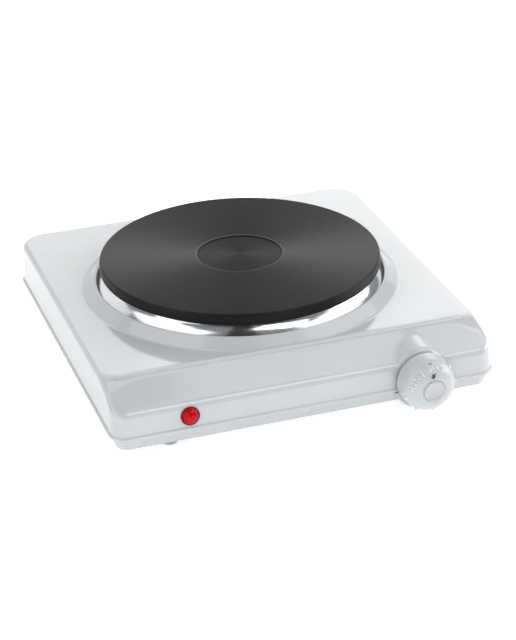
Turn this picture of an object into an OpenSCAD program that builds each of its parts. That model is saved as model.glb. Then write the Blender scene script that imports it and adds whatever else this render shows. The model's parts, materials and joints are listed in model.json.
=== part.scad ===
// Single hot plate burner: a pressed white housing on a moulded base, a cast-iron hot plate
// clamped on it by a bar and a centre stud, a thermostat with a front knob, and a pilot lamp.
// Origin on the table at the middle of the object's footprint, +Z up, front towards -Y.

/* [Housing] */
// Width over the flared lip
body_w = 247; // [240:1:260]
// Depth over the flared lip
body_d = 256; // [250:1:270]
// Height of the flat top above the table
top_z = 40.6; // [39:0.1:43]
// Height of the lip's lower edge above the table
lip_z = 13; // [12:0.5:14]
// Radius of the two rear vertical corners at the lip
corner_r = 20; // [16:1:24]
// Radius of the two front vertical corners at the lip
front_corner_r = 12; // [11:0.5:18]
// Rounding of the top edges
edge_r = 3; // [2.5:0.5:4]
// Thickness of the pressed sheet
sheet_t = 1; // [0.8:0.1:1.2]
// Horizontal run of the sloping front panel
panel_run = 25; // [22:1:27]
// Drop of the sloping front panel
panel_drop = 11; // [9:0.5:12]

/* [Hot plate] */
// Diameter of the cast-iron plate
plate_d = 182; // [178:1:184]
// Height of the cooking face above the table
plate_z = 59.3; // [58:0.1:61]
// Distance from the front lip to the plate's axis
plate_set = 133.8; // [131:0.1:137]
// Height of the plate's black rim
rim_h = 6.9; // [6.5:0.1:8]
// Diameter of the recessed centre disc
recess_d = 56; // [40:1:60]
// Diameter of the collar's inner edge
collar_in_d = 188.2; // [186:0.1:189]
// Diameter of the collar's foot
collar_out_d = 204.4; // [200:0.1:208]
// Height of the collar above the flat top
collar_h = 6; // [4.5:0.1:6.5]

/* [Control] */
// Diameter of the knob at its back edge
knob_d = 35.6; // [33:0.2:36]
// Length of the knob from its back edge to its front ring
knob_len = 17.9; // [16:0.1:19]
// Distance of the knob's axis from the plate's axis, to the right
knob_x = 73.2; // [65:0.1:76]
// Height of the knob's axis above the table
knob_z = 19.6; // [19:0.1:21]
// Diameter of the control shaft
shaft_d = 6; // [5:0.5:6]

/* [Pilot lamp] */
// Diameter of the red lens
lamp_d = 11.8; // [10:0.1:13]
// Distance of the lamp from the plate's axis, to the left
lamp_x = 75; // [60:1:85]
// Height of the lamp's axis above the table
lamp_z = 22.2; // [21:0.1:23]

/* [Base] */
// Height of the base's underside above the table
base_z = 4.5; // [3.5:0.1:5.5]
// Thickness of the base's floor and walls
base_t = 2; // [1.8:0.1:2.4]
// Length of each side grip
grip_len = 127; // [90:1:135]
// Depth of each side grip
grip_depth = 14; // [8:1:16]
// Radius of the rubber feet
foot_r = 5.5; // [4.5:0.1:7]

/* [Mains inlet] */
// Radius of the cord gland's bore
cord_r = 3.8; // [3:0.1:4.2]
// Distance of the gland from the middle, to the left
gland_x = 80; // [60:1:90]
// Height of the gland's axis above the table
gland_z = 25; // [24:0.5:27]

/* [Hidden] */

$fn = 96;

white_paint = "#e9ecee";
white_plastic = "#e2e6e8";
iron_black = "#2b2b2c";
bright_steel = "#d9dadb";
zinc_steel = "#b7b9bb";
ceramic_white = "#ddd6c8";

// How far the lip, the knob and the gland reach beyond their walls
lip_out = 1.8;
knob_gap = 0.5;
gland_out = 2.6;

// The footprint runs from the knob's front to the gland's back and is centred on the origin
knob_reach = knob_gap + knob_len;
body_front = knob_reach - (body_d + knob_reach + gland_out) / 2;
body_back = body_front + body_d;
body_mid = (body_front + body_back) / 2;
plate_y = body_front + plate_set;

// Housing walls: a slight draft from the lip to the top plane
draft = 1.4;
wall_hx = body_w / 2 - lip_out;
wall_front = body_front + lip_out;
wall_back = body_back - lip_out;
wall_r = corner_r - lip_out;
wall_front_r = front_corner_r - lip_out;
top_hx = wall_hx - draft;
top_back = wall_back - draft;
top_r = wall_r - 0.5;
top_front_r = wall_front_r - 0.5;

// Sloping panel between the crease on the top plane and the front ridge
ridge_y = body_front + 3.3;
crease_y = ridge_y + panel_run;
ridge_z = top_z - panel_drop;
slope = atan2(panel_drop, panel_run);
lean = atan2(ridge_y - wall_front, ridge_z - lip_z);

function face_y(z) = wall_front + (z - lip_z) * tan(lean);

// Centre of a rounding of radius r between two planes with normals n1 and n2 that meet at p
function round_centre(p, n1, n2, r) = p - r * (n1 + n2) / (1 + n1 * n2);

up_n = [0, 1];
slope_n = [-sin(slope), cos(slope)];
face_n = [-cos(lean), sin(lean)];
crease_c = round_centre([crease_y, top_z], up_n, slope_n, edge_r);
ridge_c = round_centre([ridge_y, ridge_z], slope_n, face_n, edge_r);

// Straight bead pressed along the crease
bead_w = 6;
bead_h = 1.2;
bead_half = 113.5;
bead_y = crease_y + 2.9;
bead_r = (pow(bead_w / 2, 2) + pow(bead_h, 2)) / (2 * bead_h);
bead_turn = acos(bead_w / 2 / bead_r);

// Raised blister behind the knob
blister_r = 17.4;
blister_fillet = 8;

// Collar section
collar_in = collar_in_d / 2;
collar_out = collar_out_d / 2;
collar_z = top_z + collar_h;
ledge_z = collar_z - 3.5;
ledge_r = collar_in - 4.4;

// Hot plate section
plate_r = plate_d / 2;
rim_z = plate_z - rim_h;
casting_z = plate_z - 15.3;
casting_r = 84.6;
channel_in = 33;
channel_out = 80;
channel_z = plate_z - 8.8;
recess_depth = 0.8;

// Coil radii in the channel
coil_radii = [43, 56.5, 70];
coil_wire = 1.8;
coil_z = channel_z - 2.9;
pin_spots = [-15, -5, 5, 15];
pin_y = plate_y + 56.5;

// Stack under the plate
cover_z = casting_z - 1.2;
bar_z = cover_z - 9.8;
bar_t = 2;
bar_w = 22;
bar_half = 112;
bar_rise = 99;
stud_r = 3;
shield_z = 17;
shield_t = 0.8;
shield_r = 95;
shield_rim = 12;

// Base skirt
skirt_hx = wall_hx - 0.3;
skirt_front = wall_front + 0.9;
skirt_back = wall_back - 0.9;
skirt_r = wall_r - 0.5;
skirt_front_r = wall_front_r - 0.5;
skirt_in = 2.4;
floor_z = base_z + base_t;
tongue_in = 1.2;
floor_in = 5;
tongue_top = lip_z + 0.9;
grip_y = body_mid - 6;

// Thermostat and knob places
bracket_gap = 1.9;
thermo_half_w = 15;
thermo_half_h = 9;
thermo_front = face_y(knob_z) + 4.9;
thermo_back = thermo_front + 24.5;
screw_pitch = 14;
knob_back_y = body_front - knob_gap;
scale_step = 40;
dot_r = 9.6;

// Knob dome: a shoulder arc between the side and the front ring
knob_r = knob_d / 2;
shoulder_r = 11;
knob_draft = 0.8;
shoulder_c = [knob_r - knob_draft - shoulder_r, knob_len - 0.9 - shoulder_r];
knob_wall = 2;

// Corner places for screws, brackets and feet
screw_x = 96;
screw_front = body_front + 24;
screw_back = body_back - 22;
foot_x = 85;
foot_front = body_front + 15.5;
foot_back = body_back - 16;

block_x = -56;
block_y = body_back - 26;
block_z = floor_z;
block_size = [36, 18, 13];
blade_x = [knob_x - 7, knob_x + 7];

// Points on a circle arc
function arc(c, r, a0, a1, n) = [
  for (i = [0 : n]) let (a = a0 + (a1 - a0) * i / n) c + r * [cos(a), sin(a)]
];

// Sweep a section, drawn with x outward and y up, around a rectangle with round corners:
// radius r at the two rear corners and front_r at the two front ones
module edge_sweep(hx, hy, r, front_r) {
  for (k = [0 : 3]) {
    across = k % 2 == 0 ? hx : hy;
    half = k % 2 == 0 ? hy : hx;
    first_r = k == 0 || k == 3 ? front_r : r;
    last_r = k < 2 ? r : front_r;
    rotate([0, 0, 90 * k]) {
      translate([across, half - last_r, 0]) rotate([90, 0, 0])
        linear_extrude(2 * half - first_r - last_r) children();
      translate([across - last_r, half - last_r, 0]) rotate_extrude(angle = 90)
        translate([last_r, 0]) children();
    }
  }
}

// Flat slab with round corners: radius r at the rear and front_r at the front
module round_slab(hx, hy, r, front_r, h) {
  linear_extrude(h) polygon(concat(
    arc([hx - r, hy - r], r, 0, 90, 12),
    arc([r - hx, hy - r], r, 90, 180, 12),
    arc([front_r - hx, front_r - hy], front_r, 180, 270, 12),
    arc([hx - front_r, front_r - hy], front_r, 270, 360, 12)
  ));
}

// Straight round bar from a to b
module rod(a, b, r) {
  d = b - a;
  translate(a) rotate([0, acos(d[2] / norm(d)), atan2(d[1], d[0])]) cylinder(h = norm(d), r = r);
}

// Points on a smooth curve through a list of points, with n steps between neighbours
function curve_point(a, b, c, d, t) = 0.5 * (2 * b + (c - a) * t
  + (2 * a - 5 * b + 4 * c - d) * t * t + (3 * b - 3 * c + d - a) * t * t * t);
function curve(p, n) = let (last = len(p) - 1) concat(
  [for (i = [0 : last - 1], k = [0 : n - 1])
    curve_point(p[max(i - 1, 0)], p[i], p[i + 1], p[min(i + 2, last)], k / n)],
  [p[last]]
);

// Bent wire swept along a smooth curve through a list of points
module wire(points, r) {
  sides = 8;
  line = curve(points, 5);
  last = len(line) - 1;
  rings = [for (i = [0 : last]) let (
    d = line[min(i + 1, last)] - line[max(i - 1, 0)],
    u = cross(d, [0.2, 0.5, 0.8]) / norm(cross(d, [0.2, 0.5, 0.8])),
    v = cross(d, u) / norm(d)
  ) for (k = [0 : sides - 1]) line[i] + r * (cos(360 * k / sides) * u + sin(360 * k / sides) * v)];
  polyhedron(rings, concat(
    [[for (k = [0 : sides - 1]) k]],
    [for (i = [0 : last - 1], k = [0 : sides - 1]) let (a = i * sides, m = (k + 1) % sides)
      [a + k, a + sides + k, a + sides + m, a + m]],
    [[for (k = [sides - 1 : -1 : 0]) last * sides + k]]
  ));
}

// Place children with local +Z pointing out of the front, at a place on the front
module facing_front(p) {
  translate(p) rotate([90, 0, 0]) children();
}

// Place children on the four corner places
module at_corners(x, y_front, y_back) {
  for (sx = [-1, 1], y = [y_front, y_back]) translate([sx * x, y, 0]) children();
}

// ---- Housing ----

// Outer form of the pressed housing, drawn in by a distance
module housing_form(inset) {
  r = edge_r - inset;
  hull($fn = 32) {
    for (s = [-1, 1]) {
      translate([s * (top_hx - top_r), top_back - top_r, top_z - edge_r])
        rotate_extrude($fn = 48) translate([top_r - edge_r, 0]) circle(r);
      translate([s * (top_hx - edge_r), crease_c[0], crease_c[1]]) sphere(r);
      translate([s * (top_hx + 0.5 - top_front_r), ridge_c[0], ridge_c[1]])
        rotate([slope, 0, 0]) translate([0, top_front_r - edge_r, 0])
          rotate_extrude($fn = 48) translate([top_front_r - edge_r, 0]) circle(r);
      translate([s * (wall_hx - wall_front_r), wall_front + wall_front_r, lip_z - inset])
        cylinder(h = 0.5 + inset, r = wall_front_r - inset, $fn = 64);
      translate([s * (wall_hx - wall_r), wall_back - wall_r, lip_z - inset])
        cylinder(h = 0.5 + inset, r = wall_r - inset, $fn = 64);
    }
  }
}

// Blister that lifts the sloping panel around the knob, drawn in by a distance
module blister_form(inset) {
  r = blister_r - inset;
  f = blister_fillet + inset;
  h = ridge_z - knob_z - inset;
  foot = sqrt(pow(r + f, 2) - pow(h + f, 2));
  lift = atan2(h + f, foot);
  intersection() {
    translate([knob_x, crease_y, knob_z]) rotate([90, 0, 0])
      linear_extrude(crease_y - body_front) polygon(concat(
        [[-foot, h - 5], [foot, h - 5], [foot, h]],
        arc([foot, h + f], f, 270, 180 + lift, 6),
        arc([0, 0], r, lift, 180 - lift, 24),
        arc([-foot, h + f], f, 360 - lift, 270, 6)
      ));
    rotate([90, 0, 90]) translate([0, 0, knob_x - 40]) linear_extrude(80) polygon([
      [face_y(lip_z) + inset, lip_z],
      [face_y(knob_z + r - 1.2) + inset, knob_z + r - 1.2],
      [face_y(knob_z + r) + inset + 1.2, knob_z + r + 0.1],
      [crease_y, knob_z + r + 0.1],
      [crease_y, lip_z]
    ]);
  }
}

// Round-topped bead, its foot set into the sheet
module bead() {
  end = bead_half - bead_w / 2;
  foot = sheet_t / 2;
  middle = [0, bead_h - bead_r];
  translate([0, bead_y, top_z]) {
    rotate([90, 0, 90]) translate([0, 0, -end]) linear_extrude(2 * end) polygon(concat(
      [[-bead_w / 2, -foot], [bead_w / 2, -foot]],
      arc(middle, bead_r, bead_turn, 180 - bead_turn, 8)
    ));
    for (s = [-1, 1]) translate([s * end, 0, 0]) rotate_extrude() polygon(concat(
      [[0, -foot], [bead_w / 2, -foot]],
      arc(middle, bead_r, bead_turn, 90, 4)
    ));
  }
}

module collar() {
  translate([0, plate_y, 0]) rotate_extrude($fn = 192) polygon([
    [collar_out + 2, top_z],
    [collar_out + 0.6, top_z],
    [collar_out, top_z + 0.3],
    [collar_in + 1, collar_z - 0.25],
    [collar_in + 0.4, collar_z],
    [collar_in - 0.1, collar_z - 0.3],
    [collar_in - 0.4, collar_z - 1],
    [collar_in - 0.4, ledge_z],
    [ledge_r, ledge_z],
    [ledge_r, ledge_z - sheet_t],
    [collar_in + sheet_t - 0.4, ledge_z - sheet_t],
    [collar_in + sheet_t - 0.4, collar_z - 2.2],
    [collar_out - 0.2, top_z - sheet_t],
    [collar_out + 2, top_z - sheet_t]
  ]);
}

// Flared and rolled lower lip
module lip() {
  translate([0, body_mid, 0]) edge_sweep(wall_hx, (wall_back - wall_front) / 2, wall_r, wall_front_r) polygon(concat(
    [[-sheet_t, lip_z], [0.9, lip_z]],
    arc([lip_out - 0.9, lip_z + 0.9], 0.9, 270, 360, 4),
    arc([lip_out - 0.8, lip_z + 1.4], 0.8, 0, 70, 4),
    [[0, lip_z + 2.9], [-sheet_t, lip_z + 2.9]]
  ));
}

module front_holes() {
  facing_front([knob_x, face_y(knob_z) + 4, knob_z]) cylinder(h = 8, r = 5.2);
  for (s = [-1, 1])
    facing_front([knob_x + s * screw_pitch, face_y(knob_z) + 4, knob_z]) cylinder(h = 8, r = 2.3);
  lamp_place() translate([0, 0, -4]) cylinder(h = 8, r = lamp_d / 2 - 1);
}

module top_housing() {
  color(white_paint) difference() {
    union() {
      difference() {
        union() {
          housing_form(0);
          blister_form(0);
        }
        housing_form(sheet_t);
        blister_form(sheet_t);
        translate([0, plate_y, top_z - 10]) cylinder(h = 20, r = collar_out + 1, $fn = 192);
      }
      bead();
      collar();
      lip();
    }
    front_holes();
    translate([-gland_x, wall_back - 5, gland_z]) rotate([-90, 0, 0]) cylinder(h = 10, r = 6.6);
  }
}

// Angle brackets welded inside the housing, which take the base screws
module housing_brackets() {
  low_z = lip_z + 6;
  color(zinc_steel) at_corners(screw_x, screw_front, screw_back) difference() {
    union() {
      translate([-7, -7, low_z]) cube([14, 14, 1.5]);
      translate([-5, 5.5, low_z]) cube([10, 1.5, top_z - sheet_t - 0.05 - low_z]);
    }
    translate([0, 0, low_z - 1]) cylinder(h = 4, r = 1.7);
  }
}

// ---- Base ----

// Skirt that draws in towards the table, with the floor's edge and the tongue inside the lip
module skirt_section() {
  bottom_r = 1.6;
  inner = -base_t - tongue_in;
  polygon(concat(
    [[-floor_in - 2, base_z]],
    arc([-skirt_in - bottom_r, base_z + bottom_r], bottom_r, 270, 345, 5),
    [[0, lip_z - 0.4], [-tongue_in, lip_z - 0.4], [-tongue_in, tongue_top], [inner, tongue_top]],
    [[inner, lip_z - 1], [-skirt_in - base_t, floor_z], [-floor_in - 2, floor_z]]
  ));
}

// Pocket walls and empty space of the left and right grips
module grip_walls(s) {
  low_x = skirt_hx - grip_depth - base_t;
  high_x = skirt_hx - tongue_in;
  mirror([s > 0 ? 0 : 1, 0, 0]) translate([0, grip_y + grip_len / 2 + base_t, 0]) rotate([90, 0, 0])
    linear_extrude(grip_len + 2 * base_t) polygon([
      [low_x, base_z], [skirt_hx - skirt_in - 1.8, base_z], [skirt_hx - skirt_in - 0.8, base_z + 1.6],
      [high_x, lip_z - 0.4], [high_x, lip_z + 1.6], [low_x, lip_z + 1.6]
    ]);
}

module grip_space(s) {
  x = skirt_hx - grip_depth;
  translate([s > 0 ? x : -x - 2 * grip_depth, grip_y - grip_len / 2, base_z - 1])
    cube([2 * grip_depth, grip_len, lip_z + 1 - base_z]);
}

// Rounded apron that hangs behind the lower part of the knob
module apron() {
  intersection() {
    facing_front([knob_x, skirt_front + base_t, knob_z])
      cylinder(h = skirt_front + base_t - (knob_back_y + 0.4), r = knob_r + 1.8);
    translate([knob_x - 30, knob_back_y - 5, 0.8]) cube([60, 20, lip_z - 0.4 - 0.8]);
  }
}

module floor_slots() {
  slot_w = 4;
  slot_l = 44;
  for (s = [-1, 1], i = [-3 : 3])
    translate([s * 40, plate_y + i * 11, base_z - 1]) {
      translate([-slot_l / 2, -slot_w / 2, 0]) cube([slot_l, slot_w, base_t + 2]);
      for (e = [-1, 1]) translate([e * slot_l / 2, 0, 0]) cylinder(h = base_t + 2, r = slot_w / 2, $fn = 32);
    }
}

function shield_spot(k) = [72 * cos(90 + 120 * k), plate_y + 72 * sin(90 + 120 * k), 0];

module base_tray() {
  hy = (skirt_back - skirt_front) / 2;
  color(white_plastic) difference() {
    union() {
      difference() {
        union() {
          translate([0, body_mid, 0]) {
            edge_sweep(skirt_hx, hy, skirt_r, skirt_front_r) skirt_section();
            translate([0, 0, base_z])
              round_slab(skirt_hx - floor_in, hy - floor_in, skirt_r - floor_in, skirt_front_r - floor_in, base_t);
          }
          for (s = [-1, 1]) grip_walls(s);
        }
        for (s = [-1, 1]) grip_space(s);
        floor_slots();
      }
      apron();
      at_corners(screw_x, screw_front, screw_back)
        translate([0, 0, base_z]) cylinder(h = lip_z + 5.8 - base_z, r = 4.5);
      for (k = [0 : 2]) translate(shield_spot(k)) translate([0, 0, base_z]) cylinder(h = shield_z - base_z, r = 4);
    }
    at_corners(screw_x, screw_front, screw_back) {
      translate([0, 0, base_z - 1]) cylinder(h = 20, r = 1.8);
      translate([0, 0, base_z - 1]) cylinder(h = 4, r = 3.6);
    }
    at_corners(foot_x, foot_front, foot_back)
      translate([0, 0, base_z - 1]) cylinder(h = base_t + 2, r = 2.8);
    for (k = [0 : 2]) translate(shield_spot(k)) translate([0, 0, floor_z]) cylinder(h = shield_z, r = 1.3);
  }
}

module feet() {
  color("#8f9396") at_corners(foot_x, foot_front, foot_back) {
    rotate_extrude() polygon([
      [0, 0], [foot_r - 1, 0], [foot_r - 0.3, 0.6], [foot_r, base_z],
      [2.6, base_z], [2.6, floor_z], [3.6, floor_z + 0.1], [2.4, floor_z + 2.4], [0, floor_z + 2.4]
    ]);
  }
}

module base_screws() {
  color(zinc_steel) at_corners(screw_x, screw_front, screw_back) {
    difference() {
      union() {
        translate([0, 0, base_z + 0.6]) cylinder(h = 2.3, r = 3.4);
        translate([0, 0, base_z + 1]) cylinder(h = lip_z + 8 - base_z, r = 1.65);
      }
      for (a = [0, 90]) rotate([0, 0, a]) translate([-2.2, -0.4, base_z]) cube([4.4, 0.8, 1.8]);
    }
  }
}

// ---- Hot plate ----

module hot_plate() {
  recess_r = recess_d / 2;
  color(iron_black) difference() {
    translate([0, plate_y, 0]) rotate_extrude($fn = 192) polygon([
      [0, plate_z - recess_depth],
      [recess_r - 0.5, plate_z - recess_depth],
      [recess_r, plate_z],
      [plate_r - 1.3, plate_z],
      [plate_r - 0.4, plate_z - 0.5],
      [plate_r, plate_z - 1.6],
      [plate_r, rim_z + 0.6],
      [plate_r - 0.6, rim_z],
      [casting_r + 2, rim_z],
      [casting_r + 0.6, rim_z - 1],
      [casting_r, casting_z + 0.8],
      [casting_r - 0.8, casting_z],
      [channel_out, casting_z],
      [channel_out, channel_z],
      [channel_in, channel_z],
      [channel_in - 0.5, casting_z],
      [0, casting_z]
    ]);
    translate([0, plate_y, casting_z - 1]) cylinder(h = 11, r = stud_r + 0.02);
  }
}

// Polished ring that closes the gap between the plate and the collar
module spill_ring() {
  t = 0.6;
  flange_r = collar_in - 0.9;
  flange_z = ledge_z + 0.1;
  drop = rim_z - 1.4 - flange_z - 0.9;
  cove_turn = 17;
  cove_r = drop / sqrt(2) / sin(cove_turn);
  reach = (cove_r * cos(cove_turn) + drop / sqrt(2)) / sqrt(2);
  cove_c = [flange_r - drop + reach, flange_z + 0.9 + reach];
  color(bright_steel) translate([0, plate_y, 0]) rotate_extrude($fn = 192) polygon(concat(
    arc(cove_c, cove_r, 225 - cove_turn, 225 + cove_turn, 8),
    [[flange_r, flange_z], [flange_r - 2, flange_z]],
    arc(cove_c, cove_r + t, 222 + cove_turn, 225 - cove_turn, 8)
  ));
}

module ceramic_mass() {
  color(ceramic_white) translate([0, plate_y, 0]) difference() {
    rotate_extrude($fn = 128) translate([channel_in + 0.4, coil_z - 2.6])
      square([channel_out - channel_in - 0.8, channel_z - coil_z + 2.5]);
    for (r = coil_radii)
      rotate_extrude($fn = 128) translate([r, coil_z]) circle(r = coil_wire + 0.05, $fn = 32);
    for (x = pin_spots) translate([x, pin_y - plate_y, coil_z - 4]) cylinder(h = 4, r = 1.3, $fn = 32);
  }
}

module heating_coils() {
  color("#8c8377") translate([0, plate_y, coil_z]) for (i = [0 : 2]) rotate([0, 0, 95])
    rotate_extrude(angle = 350, $fn = 128) translate([coil_radii[i], 0]) circle(r = coil_wire, $fn = 32);
}

module coil_block() {
  color(ceramic_white) difference() {
    translate([-21, pin_y - 6, cover_z - 8.2]) cube([42, 12, 8]);
    for (x = pin_spots) translate([x, pin_y, cover_z - 10]) cylinder(h = 12, r = 1.25, $fn = 32);
  }
}

module coil_pins() {
  color(bright_steel) for (x = pin_spots) {
    translate([x, pin_y, cover_z - 12.5]) cylinder(h = coil_z - coil_wire - 0.1 - cover_z + 12.5, r = 1.2, $fn = 32);
    translate([x - 2.2, pin_y - 0.4, cover_z - 17.5]) cube([4.4, 0.8, 6]);
  }
}

module plate_cover() {
  color(zinc_steel) difference() {
    translate([0, plate_y, 0]) rotate_extrude($fn = 128) polygon([
      [stud_r + 0.3, cover_z], [channel_out + 3, cover_z], [channel_out + 3, cover_z + 1],
      [stud_r + 0.3, cover_z + 1]
    ]);
    for (x = pin_spots) translate([x, pin_y, cover_z - 1]) cylinder(h = 4, r = 2.4, $fn = 32);
    for (s = [-1, 1]) translate([30 + s * 14, plate_y - 30, cover_z - 1]) cylinder(h = 4, r = 1.3, $fn = 32);
  }
}

module centre_stud() {
  color(zinc_steel) translate([0, plate_y, bar_z - 10]) cylinder(h = casting_z + 9 - bar_z + 10, r = stud_r);
}

// Pressed bar whose ends bear up against the housing while the nut pulls the plate down
module clamp_bar() {
  foot_z = top_z - sheet_t - 0.05;
  color(zinc_steel) difference() {
    union() {
      translate([-bar_rise, plate_y - bar_w / 2, bar_z]) cube([2 * bar_rise, bar_w, bar_t]);
      for (s = [-1, 1]) {
        translate([s * (bar_rise + bar_t / 2) - bar_t / 2, plate_y - bar_w / 2, bar_z])
          cube([bar_t, bar_w, foot_z - bar_z]);
        translate([s > 0 ? bar_rise : -bar_half, plate_y - bar_w / 2, foot_z - bar_t])
          cube([bar_half - bar_rise, bar_w, bar_t]);
      }
      for (s = [-1, 1]) translate([-88, plate_y + s * 7 - 1, bar_z - 2]) cube([176, 2, 2.5]);
    }
    translate([0, plate_y, bar_z - 3]) cylinder(h = 8, r = stud_r + 0.3);
    translate([0, plate_y, bar_z - 3]) cylinder(h = 3, r = 11);
    translate([-60, plate_y, bar_z - 3]) cylinder(h = 8, r = 2.1, $fn = 32);
  }
}

module stud_washer() {
  color(bright_steel) translate([0, plate_y, bar_z - 1.7]) difference() {
    cylinder(h = 1.6, r = 8);
    translate([0, 0, -1]) cylinder(h = 4, r = stud_r + 0.2);
  }
}

module stud_nut() {
  color(zinc_steel) translate([0, plate_y, bar_z - 6.8]) difference() {
    cylinder(h = 5, r = 5.77, $fn = 6);
    translate([0, 0, -1]) cylinder(h = 7, r = stud_r + 0.02);
  }
}

module limiter() {
  color("#cfc7b6") translate([30, plate_y - 30, cover_z]) {
    translate([0, 0, -6.2]) cylinder(h = 6.1, r = 8);
    for (s = [-1, 1]) translate([s * 4 - 2, -0.4, -12.5]) cube([4, 0.8, 6.5]);
  }
}

module limiter_clip() {
  color(bright_steel) translate([30, plate_y - 30, cover_z - 1]) difference() {
    union() {
      translate([-17, -4, 0]) cube([34, 8, 0.8]);
      translate([0, 0, -2]) cylinder(h = 2.8, r = 9.2);
      for (s = [-1, 1]) translate([s * 14, 0, -1.4]) cylinder(h = 3.4, r = 1.2, $fn = 32);
    }
    translate([0, 0, -3]) cylinder(h = 6, r = 8.1);
  }
}

module heat_shield() {
  color("#c3c6c8") difference() {
    translate([0, plate_y, 0]) rotate_extrude($fn = 128) polygon([
      [6, shield_z], [shield_r - 4, shield_z], [shield_r, shield_z + 4], [shield_r, shield_z + shield_rim],
      [shield_r - shield_t, shield_z + shield_rim], [shield_r - shield_t, shield_z + 4.3],
      [shield_r - 4.3, shield_z + shield_t], [6, shield_z + shield_t]
    ]);
    for (k = [0 : 2]) translate(shield_spot(k)) translate([0, 0, shield_z - 1]) cylinder(h = 4, r = 1.8);
  }
}

module shield_screws() {
  color(zinc_steel) for (k = [0 : 2]) translate(shield_spot(k)) {
    translate([0, 0, shield_z + shield_t + 0.05]) cylinder(h = 2, r = 3.2);
    translate([0, 0, shield_z - 7]) cylinder(h = 8, r = 1.25);
  }
}

// ---- Thermostat and knob ----

module thermostat_body() {
  color("#c9bfae") difference() {
    union() {
      translate([knob_x - thermo_half_w, thermo_front, knob_z - thermo_half_h])
        cube([2 * thermo_half_w, thermo_back - thermo_front, 2 * thermo_half_h]);
      facing_front([knob_x, thermo_front + 1, knob_z])
        cylinder(h = thermo_front + 1 - face_y(knob_z) + 1.2, r = 4.8);
    }
    facing_front([knob_x, thermo_back - 4, knob_z])
      cylinder(h = thermo_back - face_y(knob_z), r = shaft_d / 2 + 0.05);
    for (x = blade_x) translate([x - 3.2, thermo_back - 5, knob_z - 0.5]) cube([6.4, 6, 1]);
  }
}

module thermostat_bracket() {
  plate_front = face_y(knob_z) + bracket_gap;
  half_h = 5.2;
  color(zinc_steel) difference() {
    union() {
      translate([knob_x - 18, plate_front, knob_z - half_h]) cube([36, 1.2, 2 * half_h]);
      for (s = [-1, 1]) translate([knob_x + s * (thermo_half_w + 0.8) - 0.6, plate_front, knob_z - half_h])
        cube([1.2, 12, 2 * half_h]);
    }
    facing_front([knob_x, plate_front + 3, knob_z]) cylinder(h = 6, r = 5);
    for (s = [-1, 1])
      facing_front([knob_x + s * screw_pitch, plate_front + 3, knob_z]) cylinder(h = 6, r = 2.02);
  }
}

module thermostat_screws() {
  color(zinc_steel) for (s = [-1, 1]) facing_front([knob_x + s * screw_pitch, face_y(knob_z), knob_z]) difference() {
    union() {
      translate([0, 0, 0.45]) cylinder(h = 1.6, r = 3.3);
      translate([0, 0, -4.2]) cylinder(h = 5, r = 2);
    }
    for (a = [0, 90]) rotate([0, 0, a]) translate([-2, -0.4, 1]) cube([4, 0.8, 2]);
  }
}

module thermostat_terminals() {
  color("#c9a24a") for (x = blade_x)
    translate([x - 3.15, thermo_back - 4.9, knob_z - 0.4]) cube([6.3, 12, 0.8]);
}

module control_shaft() {
  front_y = knob_back_y - 13;
  color(bright_steel) difference() {
    facing_front([knob_x, thermo_back - 4.5, knob_z]) cylinder(h = thermo_back - 4.5 - front_y, r = shaft_d / 2);
    translate([knob_x - 4, front_y - 1, knob_z + shaft_d / 2 - 1]) cube([8, 12.5, 4]);
  }
}

// One raised stroke of a letter, from a to b
module stroke(a, b) {
  d = b - a;
  translate([a[0], a[1], -0.6]) rotate([0, 0, atan2(d[1], d[0])])
    translate([-0.2, -0.22, 0]) cube([norm(d) + 0.4, 0.44, 1]);
}

// Raised letters, each a list of strokes in a cell 1 wide and 1 high
LETTER_M = [[[0, 0], [0, 1]], [[0, 1], [0.5, 0.3]], [[0.5, 0.3], [1, 1]], [[1, 1], [1, 0]]];
LETTER_I = [[[0.5, 0], [0.5, 1]]];
LETTER_N = [[[0, 0], [0, 1]], [[0, 1], [1, 0]], [[1, 0], [1, 1]]];
LETTER_A = [[[0, 0], [0.5, 1]], [[0.5, 1], [1, 0]], [[0.25, 0.4], [0.75, 0.4]]];
LETTER_X = [[[0, 0], [1, 1]], [[0, 1], [1, 0]]];

// Place children on the dome: turn clockwise from the top, and rise along the shoulder arc
module on_dome(turn, rise) {
  rotate([0, 0, -turn])
    translate([0, shoulder_c[0] + shoulder_r * cos(rise), shoulder_c[1] + shoulder_r * sin(rise)])
      rotate([rise - 90, 0, 0]) children();
}

module dome_word(letters, turn, pitch) {
  cell = [2.3, 3.2];
  for (i = [0 : 2]) on_dome(turn + (i - 1) * pitch, 52)
    for (s = letters[i])
      stroke([(s[0][0] - 0.5) * cell[0], (s[0][1] - 0.5) * cell[1]],
             [(s[1][0] - 0.5) * cell[0], (s[1][1] - 0.5) * cell[1]]);
}

module knob_section() {
  inner_r = shoulder_r - knob_wall;
  polygon(concat(
    arc([0, knob_len + 13.5], 14.6, 270, 291.5, 6),
    arc([5.9, knob_len - 0.5], 0.5, 110, 20, 4),
    [[6.7, knob_len - 1.1], [7.1, knob_len - 1.1]],
    arc(shoulder_c, shoulder_r, 86, 0, 14),
    [[knob_r, 0.5], [knob_r - 0.4, 0], [knob_r - knob_wall + 0.2, 0]],
    arc(shoulder_c, inner_r, 0, 90, 10),
    [[5.2, shoulder_c[1] + inner_r], [5.2, 1.6], [shaft_d / 2 + 0.03, 1.6]],
    [[shaft_d / 2 + 0.03, 13.2], [0, 13.2]]
  ));
}

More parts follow.
